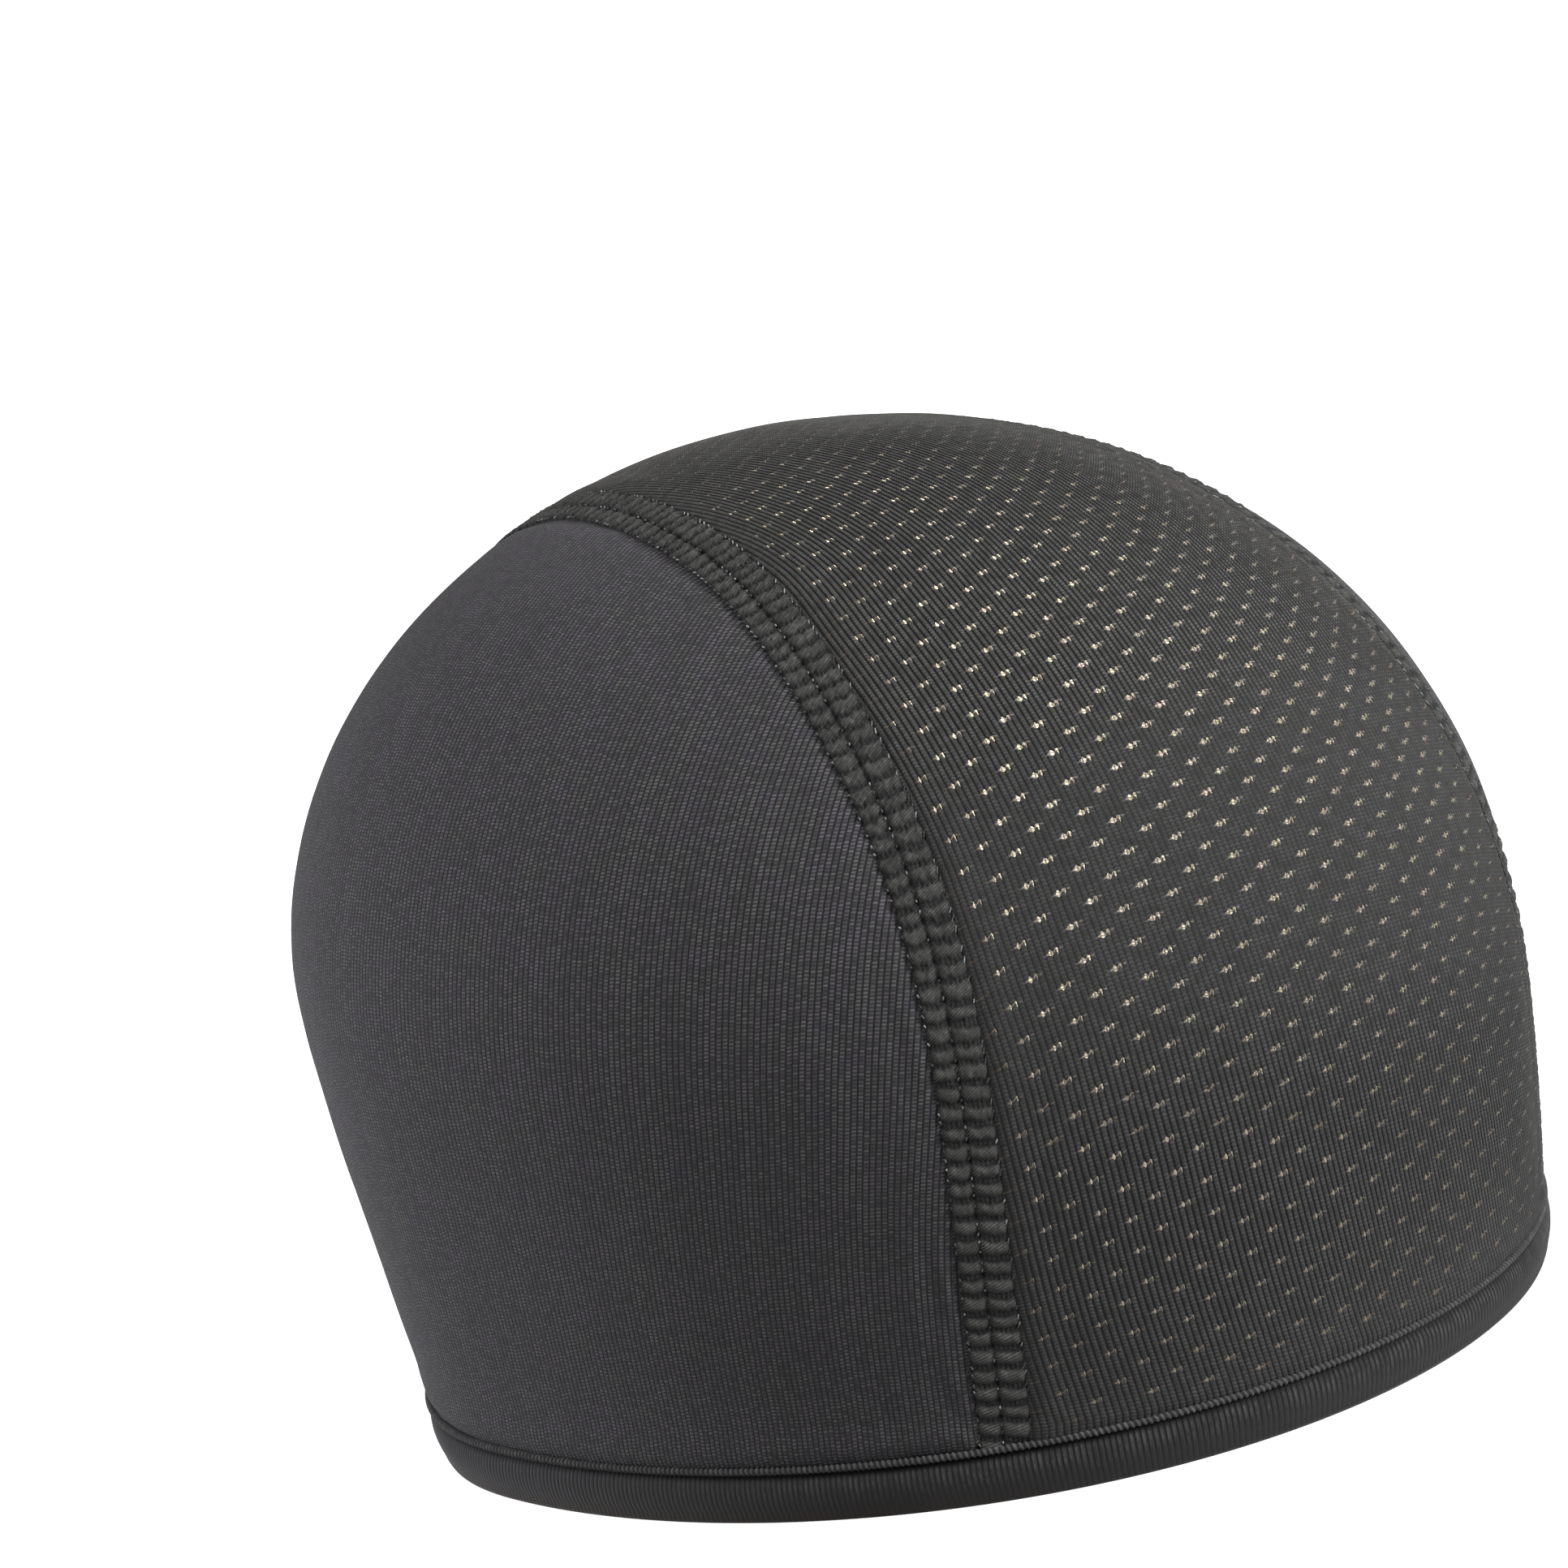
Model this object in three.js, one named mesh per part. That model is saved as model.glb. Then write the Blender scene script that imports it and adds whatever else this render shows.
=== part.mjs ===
// Helmet liner cap: a mesh panel over the crown between two smooth side panels,
// joined by two flat seams and held by a ribbed hem band.
// Sizes are in millimetres. The cap rests on its hem at z = 0, with the forehead at -Y.

import * as THREE from 'three';

// Whole cap, over the outside of the cloth
const LENGTH = 194;
const WIDTH = 165;
const HEIGHT = 134;
const WIDEST_Y = 10;

// How far the cloth draws in from its widest line down to the floor, gently at first
const FRONT_TUCK = 8.3;
const BACK_TUCK = 22;
const SIDE_TUCK = 2.2;
const TUCK_POWER = 1.4;

// Height of the widest line
const FRONT_WIDEST_Z = 46;
const BACK_WIDEST_Z = 73;
const SIDE_WIDEST_Z = 60;

// Fullness of the outline above the widest line: 2 is an ellipse, more is squarer
const CROWN_POWER = 1.95;
const FRONT_FULLNESS = 2.55;
const BACK_FULLNESS = 1.92;
const SIDE_FULLNESS = 1.92;

// Cloth
const PANEL_WALL = 1.2;
const SEAM_WALL = 1.4;
const HEM_WALL = 1.6;
const JOIN_GAP = 0.3;

// Flat seam strips
const SEAM_WIDTH = 7.2;
const SEAM_RISE = 0.6;

// Hem band
const HEM_HEIGHT = 7.5;
const HEM_RISE = 0.8;
const HEM_FLAT = 1.4;

// Height of the point that the panels' lines fan out from
const FAN_Z = 25;

// How far the side panel's column feet spread along the hem, in radians for the whole seam
const FOOT_SPREAD = 0.42;

// Facets
const CROWN_STEPS = 42;
const MESH_COLUMNS = 12;
const SIDE_ROWS = 11;
const HEM_STEPS = 84;

// The seam's distance from the mid-line, front hem (over = 0) to back hem (over = 1),
// as a share of the cap's half width
const SEAM_PATH = [
  { over: 0.00, out: 0.610 },
  { over: 0.16, out: 0.605 },
  { over: 0.31, out: 0.520 },
  { over: 0.43, out: 0.405 },
  { over: 0.53, out: 0.310 },
  { over: 0.63, out: 0.222 },
  { over: 0.73, out: 0.155 },
  { over: 0.86, out: 0.125 },
  { over: 1.00, out: 0.125 },
];

// Seam cross-section: across as a share of the half width, up as a share of the rise
const SEAM_SECTION = [
  { across: -1.00, up: 0.0 },
  { across: -0.78, up: 0.8 },
  { across: -0.42, up: 1.0 },
  { across: 0.00, up: 0.3 },
  { across: 0.42, up: 1.0 },
  { across: 0.78, up: 0.8 },
  { across: 1.00, up: 0.0 },
];

// Hem cross-section: z as a share of the hem height, out as a share of the rise
const HEM_SECTION = [
  { z: 1.00, out: 0.3 },
  { z: 0.90, out: 1.1 },
  { z: 0.78, out: 0.3 },
  { z: 0.62, out: 0.9 },
  { z: 0.35, out: 1.0 },
  { z: 0.12, out: 0.6 },
];

const COLOURS = {
  mesh_panel: 0x3a3938,
  side_panel: 0x444348,
  seam: 0x4b4d48,
  hem_band: 0x3c3b40,
};

const FAN = new THREE.Vector3(0, 0, FAN_Z);
const mix = THREE.MathUtils.lerp;

// Reach of one side outline at a height
function outlineReach(z, reach, tuck, widest, fullness) {
  if (z < widest) {
    const down = (widest - z) / widest;
    return reach - tuck * Math.pow(down, TUCK_POWER);
  }
  const up = (z - widest) / (HEIGHT - widest);
  return reach * Math.pow(Math.max(0, 1 - Math.pow(up, CROWN_POWER)), 1 / fullness);
}

// Half sizes of the level section at a height
function section(z) {
  return {
    front: outlineReach(z, LENGTH / 2 + WIDEST_Y, FRONT_TUCK, FRONT_WIDEST_Z, FRONT_FULLNESS),
    back: outlineReach(z, LENGTH / 2 - WIDEST_Y, BACK_TUCK, BACK_WIDEST_Z, BACK_FULLNESS),
    side: outlineReach(z, WIDTH / 2, SIDE_TUCK, SIDE_WIDEST_Z, SIDE_FULLNESS),
  };
}

function isInside(x, y, z) {
  if (z >= HEIGHT) return false;
  const size = section(z);
  const along = (y - WIDEST_Y) / (y < WIDEST_Y ? size.front : size.back);
  const across = x / size.side;
  return along * along + across * across < 1;
}

// Where a line from a point inside the cap meets the outer surface
function surfaceAlong(from, direction) {
  let near = 0;
  let far = LENGTH + HEIGHT;
  for (let i = 0; i < 42; i += 1) {
    const middle = (near + far) / 2;
    const p = direction.clone().multiplyScalar(middle).add(from);
    if (isInside(p.x, p.y, p.z)) near = middle;
    else far = middle;
  }
  return direction.clone().multiplyScalar(far).add(from);
}

// Outward normal of the outer surface at a point on it
function normalAt(point) {
  const ray = point.clone().sub(FAN).normalize();
  const level = new THREE.Vector3(-ray.y, ray.x, 0);
  if (level.length() < 0.01) level.set(1, 0, 0);
  level.normalize();
  const rise = new THREE.Vector3().crossVectors(ray, level);
  const probe = (axis, step) => surfaceAlong(FAN, ray.clone().addScaledVector(axis, step).normalize());
  const alongLevel = probe(level, 0.01).sub(probe(level, -0.01));
  const alongRise = probe(rise, 0.01).sub(probe(rise, -0.01));
  return new THREE.Vector3().crossVectors(alongLevel, alongRise).normalize();
}

function raised(point, height) {
  return point.clone().addScaledVector(normalAt(point), height);
}

// Point on the surface in the plane at x, from the front hem (over = 0) to the back hem (over = 1)
function overCrown(over, x) {
  const level = HEM_HEIGHT + JOIN_GAP;
  const size = section(level);
  const width = Math.sqrt(Math.max(0, 1 - (x / size.side) ** 2));
  const down = FAN_Z - level;
  const frontAngle = -Math.atan2(down, size.front * width - WIDEST_Y);
  const backAngle = Math.PI + Math.atan2(down, size.back * width + WIDEST_Y);
  const angle = mix(frontAngle, backAngle, over);
  const ray = new THREE.Vector3(0, -Math.cos(angle), Math.sin(angle));
  return surfaceAlong(new THREE.Vector3(x, 0, FAN_Z), ray);
}

// The seam's centre line, eased between the rows of its table
function seamOut(over) {
  const rows = SEAM_PATH;
  let i = 0;
  while (i < rows.length - 2 && over > rows[i + 1].over) i += 1;
  const slope = (k) => {
    const a = rows[Math.max(0, k - 1)];
    const b = rows[Math.min(rows.length - 1, k + 1)];
    return (b.out - a.out) / (b.over - a.over);
  };
  const span = rows[i + 1].over - rows[i].over;
  const u = (over - rows[i].over) / span;
  const ease = u * u * (3 - 2 * u);
  const bend = span * u * (1 - u) * (slope(i) * (1 - u) - slope(i + 1) * u);
  return (mix(rows[i].out, rows[i + 1].out, ease) + bend) * WIDTH / 2;
}

// Line beside the seam's centre, a distance out along the cloth towards the +X side
function besideSeam(over, distance) {
  const x = seamOut(over);
  const before = Math.max(0, over - 0.004);
  const after = Math.min(1, over + 0.004);
  const along = overCrown(after, seamOut(after)).sub(overCrown(before, seamOut(before))).normalize();
  const step = overCrown(over, x + 0.5).sub(overCrown(over, x - 0.5));
  const clothPerX = step.addScaledVector(along, -step.dot(along)).length();
  return overCrown(over, x + distance / clothPerX);
}

// A closed solid from a grid of vertex rings: each column is one closed ring of points
function ringSolid(rings, closed) {
  const count = rings[0].length;
  const points = rings.flat();
  const faces = [];
  const last = closed ? rings.length : rings.length - 1;
  for (let i = 0; i < last; i += 1) {
    const a = i * count;
    const b = ((i + 1) % rings.length) * count;
    for (let k = 0; k < count; k += 1) {
      const n = (k + 1) % count;
      faces.push([a + k, b + k, b + n], [a + k, b + n, a + n]);
    }
  }
  return { points, faces };
}

// Caps for the two end rings of a strip whose ring is an outer row and an inner row
function capRings(solid, rings, outerCount) {
  const count = rings[0].length;
  const innerPerOuter = (count - outerCount - 1) / (outerCount - 1);
  const innerAt = (start, k) => start + count - 1 - Math.round(k * innerPerOuter);
  for (const [start, flip] of [[0, false], [(rings.length - 1) * count, true]]) {
    for (let k = 0; k < outerCount - 1; k += 1) {
      const a = start + k;
      const b = start + k + 1;
      const c = innerAt(start, k + 1);
      const d = innerAt(start, k);
      const quad = c === d ? [[a, b, c]] : [[a, b, c], [a, c, d]];
      quad.forEach((face) => solid.faces.push(flip ? face.reverse() : face));
    }
  }
  return solid;
}

// The cloth between two edges, one wall thick: rows[i][k] lies on the outer surface
function clothSolid(rows, wall) {
  const rings = rows.map((row) => {
    const inner = row.map((p) => raised(p, -wall)).reverse();
    return [...row, ...inner];
  });
  return capRings(ringSolid(rings, false), rings, rows[0].length);
}

// Merges equal points, drops faces that closed up, and turns the solid to face out
function toMesh(name, solid, colour) {
  const index = new Map();
  const points = [];
  const place = solid.points.map((p) => {
    const key = [p.x, p.y, p.z].map((v) => v.toFixed(5)).join();
    if (!index.has(key)) {
      index.set(key, points.length);
      points.push(p);
    }
    return index.get(key);
  });
  const faces = solid.faces
    .map((face) => face.map((k) => place[k]))
    .filter(([a, b, c]) => a !== b && b !== c && c !== a);
  let volume = 0;
  for (const [a, b, c] of faces) {
    volume += points[a].dot(new THREE.Vector3().crossVectors(points[b], points[c]));
  }
  const outward = volume > 0 ? faces : faces.map(([a, b, c]) => [a, c, b]);
  const geometry = new THREE.BufferGeometry().setFromPoints(points);
  geometry.setIndex(outward.flat());
  geometry.computeVertexNormals();
  const mesh = new THREE.Mesh(geometry, new THREE.MeshStandardMaterial({ color: colour, roughness: 0.95 }));
  mesh.name = name;
  return mesh;
}

// The same solid on the other side of the mid-line
function mirrored(solid) {
  return {
    points: solid.points.map((p) => new THREE.Vector3(-p.x, p.y, p.z)),
    faces: solid.faces,
  };
}

const steps = (count) => Array.from({ length: count + 1 }, (_, i) => i / count);

// Mesh panel: over the crown from hem to hem, between the two seams
function meshPanel() {
  const edge = SEAM_WIDTH / 2 + JOIN_GAP;
  const rows = steps(CROWN_STEPS).map((over) => {
    const out = besideSeam(over, -edge).x;
    return steps(MESH_COLUMNS).map((k) => overCrown(over, mix(-out, out, k)));
  });
  return clothSolid(rows, PANEL_WALL);
}

// Side panel on +X: columns fan up from the hem to the seam
function sidePanel() {
  const level = HEM_HEIGHT + JOIN_GAP;
  const edge = SEAM_WIDTH / 2 + JOIN_GAP;
  const turnOf = (p) => Math.atan2(p.y, p.x);
  const climbOf = (p) => Math.atan2(p.z - FAN_Z, Math.hypot(p.x, p.y));
  const frontTurn = turnOf(besideSeam(0, edge));
  const backTurn = turnOf(besideSeam(1, edge));
  const rows = steps(CROWN_STEPS).map((over) => {
    const top = besideSeam(over, edge);
    const most = backTurn - FOOT_SPREAD * (1 - over);
    const least = frontTurn + FOOT_SPREAD * over;
    const footTurn = Math.max(least, Math.min(most, turnOf(top)));
    const along = new THREE.Vector3(Math.cos(footTurn), Math.sin(footTurn), 0);
    const foot = surfaceAlong(new THREE.Vector3(0, 0, level), along);
    if (over === 0 || over === 1) return steps(SIDE_ROWS).map(() => foot.clone());
    return steps(SIDE_ROWS).map((k) => {
      const turn = mix(footTurn, turnOf(top), k);
      const climb = mix(climbOf(foot), climbOf(top), k);
      const flat = Math.cos(climb);
      const ray = new THREE.Vector3(flat * Math.cos(turn), flat * Math.sin(turn), Math.sin(climb));
      return surfaceAlong(FAN, ray);
    });
  });
  return clothSolid(rows, PANEL_WALL);
}

// Flat seam strip on +X: two raised rows with a groove between them
function seamStrip() {
  const half = SEAM_WIDTH / 2;
  const rings = steps(CROWN_STEPS).map((over) => {
    const line = SEAM_SECTION.map((row) => {
      const base = besideSeam(over, row.across * half);
      return { base, up: row.up * SEAM_RISE };
    });
    const outer = line.map((row) => raised(row.base, row.up));
    const inner = [line[line.length - 1], line[0]].map((row) => raised(row.base, -SEAM_WALL));
    return [...outer, ...inner];
  });
  return capRings(ringSolid(rings, false), rings, SEAM_SECTION.length);
}

// Hem band: a ring with a ridge at its top edge and a rounded lower edge with a level foot
function hemBand() {
  const at = (turn, z, out) => {
    const level = new THREE.Vector3(Math.cos(turn), Math.sin(turn), 0);
    const p = surfaceAlong(new THREE.Vector3(0, 0, z), level);
    const outward = normalAt(p);
    outward.z = 0;
    return p.addScaledVector(outward.normalize(), out);
  };
  const rings = [];
  for (let i = 0; i < HEM_STEPS; i += 1) {
    const turn = (i / HEM_STEPS) * 2 * Math.PI;
    const ring = HEM_SECTION.map((row) => at(turn, row.z * HEM_HEIGHT, row.out * HEM_RISE));
    const footOut = HEM_RISE - 0.35 * (HEM_WALL + HEM_RISE - HEM_FLAT);
    ring.push(at(turn, 0, footOut - 0.3 * HEM_RISE));
    ring.push(at(turn, 0, footOut - 0.3 * HEM_RISE - HEM_FLAT));
    ring.push(at(turn, 0.12 * HEM_HEIGHT, -HEM_WALL));
    ring.push(at(turn, HEM_HEIGHT, -HEM_WALL));
    rings.push(ring);
  }
  return ringSolid(rings, true);
}

const cap = new THREE.Group();
cap.name = 'helmet_liner_cap';
const side = sidePanel();
const seam = seamStrip();
cap.add(toMesh('mesh_panel', meshPanel(), COLOURS.mesh_panel));
cap.add(toMesh('side_panel_left', side, COLOURS.side_panel));
cap.add(toMesh('side_panel_right', mirrored(side), COLOURS.side_panel));
cap.add(toMesh('seam_left', seam, COLOURS.seam));
cap.add(toMesh('seam_right', mirrored(seam), COLOURS.seam));
cap.add(toMesh('hem_band', hemBand(), COLOURS.hem_band));

export default cap;
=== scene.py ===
# Looks of the helmet liner cap: knit panels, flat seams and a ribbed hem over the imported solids.
# Sizes are in millimetres unless a name or a comment says otherwise.
# The forehead faces -Y and the hem rests at z = 0.

import math

import bpy
import numpy as np
from mathutils import Matrix, Vector


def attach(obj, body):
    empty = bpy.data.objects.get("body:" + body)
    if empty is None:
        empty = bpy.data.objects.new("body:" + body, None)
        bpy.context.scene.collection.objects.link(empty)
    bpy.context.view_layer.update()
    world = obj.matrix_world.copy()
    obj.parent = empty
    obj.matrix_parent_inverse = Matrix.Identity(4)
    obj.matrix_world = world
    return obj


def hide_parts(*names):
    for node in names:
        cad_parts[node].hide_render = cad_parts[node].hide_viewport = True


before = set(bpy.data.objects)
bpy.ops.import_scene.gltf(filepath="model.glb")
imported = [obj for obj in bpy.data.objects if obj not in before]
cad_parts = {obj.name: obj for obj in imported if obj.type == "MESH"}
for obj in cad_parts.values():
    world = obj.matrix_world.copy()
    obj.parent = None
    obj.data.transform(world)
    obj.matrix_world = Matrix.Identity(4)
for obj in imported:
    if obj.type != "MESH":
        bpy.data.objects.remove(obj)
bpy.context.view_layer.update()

MM = 0.001
rng = np.random.default_rng(14)

# Whole cap, over the outside of the cloth
LENGTH = 194.0
WIDTH = 165.0
HEIGHT = 134.0
WIDEST_Y = 10.0
FRONT_TUCK = 8.3
BACK_TUCK = 22.0
SIDE_TUCK = 2.2
TUCK_POWER = 1.4
FRONT_WIDEST_Z = 46.0
BACK_WIDEST_Z = 73.0
SIDE_WIDEST_Z = 60.0
CROWN_POWER = 1.95
FRONT_FULLNESS = 2.55
BACK_FULLNESS = 1.92
SIDE_FULLNESS = 1.92
FAN_Z = 25.0

# How far the side panels' column feet spread along the hem, in radians for the whole seam
FOOT_SPREAD = 0.42

# Seams and hem
SEAM_WIDTH = 7.2
SEAM_WALL = 1.3
HEM_HEIGHT = 7.5
HEM_WALL = 1.6
JOIN_GAP = 0.3
TUCK_UNDER_SEAM = 1.5

# The seam's distance from the mid-line, front hem to back hem, as a share of the half width
SEAM_PATH = [
    (0.00, 0.610),
    (0.16, 0.605),
    (0.31, 0.520),
    (0.43, 0.405),
    (0.53, 0.310),
    (0.63, 0.222),
    (0.73, 0.155),
    (0.86, 0.125),
    (1.00, 0.125),
]

# Width of the middle rib of the mesh, front hem to back hem
RIB_PITCH = [
    (0.00, 0.80),
    (0.13, 0.79),
    (0.20, 0.81),
    (0.26, 0.81),
    (0.31, 0.79),
    (0.36, 0.73),
    (0.42, 0.70),
    (0.55, 0.66),
    (1.00, 0.66),
]
RIB_HEIGHT = 0.18

# How clearly the ribs show, by distance from the front hem: least where the head stretches the cloth most
RIB_RELIEF = [
    (0, 0.60),
    (30, 0.90),
    (58, 0.55),
    (84, 0.40),
    (108, 1.00),
    (390, 1.00),
]

# How much wider a rib WIDENING_OUT from the middle is, front hem to back hem
WIDENING_OUT = 38
RIB_WIDENING = [
    (0.00, 0.19),
    (0.11, 0.19),
    (0.17, 0.15),
    (0.24, 0.03),
    (0.32, -0.04),
    (0.42, -0.08),
    (0.60, -0.08),
    (1.00, 0.00),
]

# The knit lies a little turned on the head, and its courses rise towards the seams.
# MIDDLE_RIB says how far out the middle rib lies, by distance from the front hem.
MIDDLE_RIB = [
    (0, 6.0),
    (20, 1.6),
    (40, -1.0),
    (60, -1.1),
    (80, 0.0),
    (150, 3.9),
    (390, 3.9),
]
COURSE_TILT = 0.085
COURSE_BEND = 0.0100

# Eyelets lie in columns this many ribs apart, every second column half a step on
EYELET_RIBS = 4
EYELET_STEP = 4.6
EYELET_PITCH = [
    (0, 4.95),
    (45, 4.75),
    (75, 4.52),
    (110, 4.40),
    (390, 4.50),
]
EYELET_STATIONS = (-0.47, -0.18, 0.18, 0.47)
REAR_STATIONS = (-0.50, 0.00, 0.50)
EYELET_HALF_WIDTH = 0.33
SECOND_HALF_WIDTH = 0.15

# How far the eyelets are open, by distance from the front hem
EYELET_OPENING = [
    (0, 0.30),
    (20, 0.40),
    (50, 0.72),
    (72, 1.12),
    (98, 1.12),
    (118, 0.76),
    (140, 0.44),
    (390, 0.42),
]

# Width of one knit column of the side panels, by height
COLUMN_PITCH = [
    (0, 0.78),
    (30, 0.83),
    (72, 0.93),
    (134, 0.93),
]
COURSE_PITCH = 0.5


def smooth_table(table, at):
    """Values eased between the rows of a table of (place, value)."""
    place = np.array([row[0] for row in table], float)
    value = np.array([row[1] for row in table], float)
    i = np.clip(np.searchsorted(place, at, side="right") - 1, 0, len(place) - 2)
    before = np.clip(i - 1, 0, len(place) - 1)
    after = np.clip(i + 2, 0, len(place) - 1)
    span = place[i + 1] - place[i]
    u = (at - place[i]) / span
    slope_a = (value[i + 1] - value[before]) / (place[i + 1] - place[before])
    slope_b = (value[after] - value[i]) / (place[after] - place[i])
    ease = u * u * (3 - 2 * u)
    bend = span * u * (1 - u) * (slope_a * (1 - u) - slope_b * u)
    return value[i] + (value[i + 1] - value[i]) * ease + bend


def outline_reach(z, full, tuck, widest, fullness):
    """How far the surface reaches on one side at a height: tucked in below its widest, round above it."""
    down = np.clip((widest - z) / widest, 0, 1)
    up = np.clip((z - widest) / (HEIGHT - widest), 0, 1)
    below = full - tuck * down**TUCK_POWER
    above = full * (1 - up**CROWN_POWER) ** (1 / fullness)
    return np.where(z < widest, below, above)


def section(z):
    """Half sizes of the level section at a height: front, back and side."""
    front = outline_reach(z, LENGTH / 2 + WIDEST_Y, FRONT_TUCK, FRONT_WIDEST_Z, FRONT_FULLNESS)
    back = outline_reach(z, LENGTH / 2 - WIDEST_Y, BACK_TUCK, BACK_WIDEST_Z, BACK_FULLNESS)
    side = outline_reach(z, WIDTH / 2, SIDE_TUCK, SIDE_WIDEST_Z, SIDE_FULLNESS)
    return front, back, side


def is_inside(p):
    x, y, z = p[..., 0], p[..., 1], p[..., 2]
    front, back, side = section(z)
    along = (y - WIDEST_Y) / np.maximum(np.where(y < WIDEST_Y, front, back), 1e-9)
    across = x / np.maximum(side, 1e-9)
    return (z < HEIGHT) & (along**2 + across**2 < 1)


def surface_along(start, direction):
    """Where lines from points inside the cap meet the outer surface."""
    start, direction = np.broadcast_arrays(start, direction)
    near = np.zeros(direction.shape[:-1])
    far = np.full(direction.shape[:-1], LENGTH + HEIGHT)
    for _ in range(34):
        middle = (near + far) / 2
        inside = is_inside(start + direction * middle[..., None])
        near = np.where(inside, middle, near)
        far = np.where(inside, far, middle)
    return start + direction * far[..., None]


def unit(v):
    return v / np.maximum(np.linalg.norm(v, axis=-1, keepdims=True), 1e-12)


FAN = np.array([0.0, 0.0, FAN_Z])


def normal_at(points):
    """Outward normals of the outer surface."""
    ray = unit(points - FAN)
    level = np.stack([-ray[..., 1], ray[..., 0], np.zeros(ray.shape[:-1])], -1)
    flat = np.linalg.norm(level, axis=-1, keepdims=True) < 0.01
    level = unit(np.where(flat, [1.0, 0.0, 0.0], level))
    rise = np.cross(ray, level)
    along_level = surface_along(FAN, unit(ray + 0.01 * level)) - surface_along(FAN, unit(ray - 0.01 * level))
    along_rise = surface_along(FAN, unit(ray + 0.01 * rise)) - surface_along(FAN, unit(ray - 0.01 * rise))
    return unit(np.cross(along_level, along_rise))


def over_crown(over, x, level=HEM_HEIGHT + JOIN_GAP):
    """Points on the surface in the plane at x, from the front hem (over 0) to the back hem (over 1)."""
    over, x = np.broadcast_arrays(np.asarray(over, float), np.asarray(x, float))
    front, back, side = section(np.asarray(level, float))
    width = np.sqrt(np.maximum(0, 1 - (x / side) ** 2))
    down = FAN_Z - level
    front_angle = -np.arctan2(down, front * width - WIDEST_Y)
    back_angle = math.pi + np.arctan2(down, back * width + WIDEST_Y)
    angle = front_angle + (back_angle - front_angle) * over
    start = np.stack([x, np.zeros_like(x), np.full_like(x, FAN_Z)], -1)
    direction = np.stack([np.zeros_like(x), -np.cos(angle), np.sin(angle)], -1)
    return surface_along(start, direction)


def seam_out(over):
    return smooth_table(SEAM_PATH, over) * WIDTH / 2


def beside_seam(over, distance):
    """Points beside the +X seam's centre line, a distance out along the cloth."""
    over, distance = np.broadcast_arrays(np.asarray(over, float), np.asarray(distance, float))
    x = seam_out(over)
    before, after = np.clip(over - 0.004, 0, 1), np.clip(over + 0.004, 0, 1)
    along = unit(over_crown(after, seam_out(after)) - over_crown(before, seam_out(before)))
    step = over_crown(over, x + 0.5) - over_crown(over, x - 0.5)
    cloth_per_x = np.linalg.norm(step - along * (step * along).sum(-1, keepdims=True), axis=-1)
    return over_crown(over, x + distance / cloth_per_x)


def running_length(points):
    """Distance along a line of points, from its first."""
    return np.concatenate([[0.0], np.cumsum(np.linalg.norm(np.diff(points, axis=0), axis=-1))])


def smooth_noise(shape, cells, seed):
    """Slow random variation from -1 to 1 on a grid."""
    local = np.random.default_rng(seed)
    coarse = local.uniform(-1, 1, (cells[0] + 2, cells[1] + 2))
    a = np.linspace(0, cells[0], shape[0])
    b = np.linspace(0, cells[1], shape[1])
    ia, ib = np.minimum(a.astype(int), cells[0] - 1), np.minimum(b.astype(int), cells[1] - 1)
    fa, fb = (a - ia)[:, None], (b - ib)[None, :]
    fa, fb = fa * fa * (3 - 2 * fa), fb * fb * (3 - 2 * fb)
    c = coarse[np.ix_(ia, ib)] * (1 - fa) * (1 - fb) + coarse[np.ix_(ia + 1, ib)] * fa * (1 - fb)
    return c + coarse[np.ix_(ia, ib + 1)] * (1 - fa) * fb + coarse[np.ix_(ia + 1, ib + 1)] * fa * fb


def make_piece(name, points, faces, uv, material, sharp=None, shade=None, mirror=False):
    """A mesh piece from points in millimetres. A face row that ends in -1 is a triangle."""
    points = np.array(points, float)
    if mirror:
        points[:, 0] *= -1
        faces = np.where(faces[:, 3:] < 0, faces[:, [0, 2, 1, 3]], faces[:, [0, 3, 2, 1]])
    size = np.where(faces[:, 3] < 0, 3, 4)
    loops = faces[faces >= 0]
    mesh = bpy.data.meshes.new(name)
    mesh.vertices.add(len(points))
    mesh.vertices.foreach_set("co", (points * MM).ravel())
    mesh.loops.add(len(loops))
    mesh.loops.foreach_set("vertex_index", loops.astype(np.int32))
    mesh.polygons.add(len(faces))
    mesh.polygons.foreach_set("loop_start", (np.cumsum(size) - size).astype(np.int32))
    mesh.update(calc_edges=True)
    mesh.polygons.foreach_set("use_smooth", np.ones(len(faces), bool))
    layer = mesh.uv_layers.new(name="knit")
    layer.data.foreach_set("uv", np.asarray(uv, float)[loops].ravel())
    if shade is not None:
        spot = mesh.attributes.new("shade", "FLOAT", "POINT")
        spot.data.foreach_set("value", np.asarray(shade, np.float32))
    if sharp is not None:
        edges = np.empty(len(mesh.edges) * 2, np.int32)
        mesh.edges.foreach_get("vertices", edges)
        both = np.asarray(sharp, bool)[edges.reshape(-1, 2)].all(1)
        crease = mesh.attributes.new("sharp_edge", "BOOLEAN", "EDGE")
        crease.data.foreach_set("value", both)
    mesh.validate()
    mesh.materials.append(material)
    piece = bpy.data.objects.new(name, mesh)
    bpy.context.scene.collection.objects.link(piece)
    return piece


def paired(u, v, shape):
    """One (u, v) for each point of a grid."""
    return np.stack([np.broadcast_to(u, shape), np.broadcast_to(v, shape)], -1).reshape(-1, 2)


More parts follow.
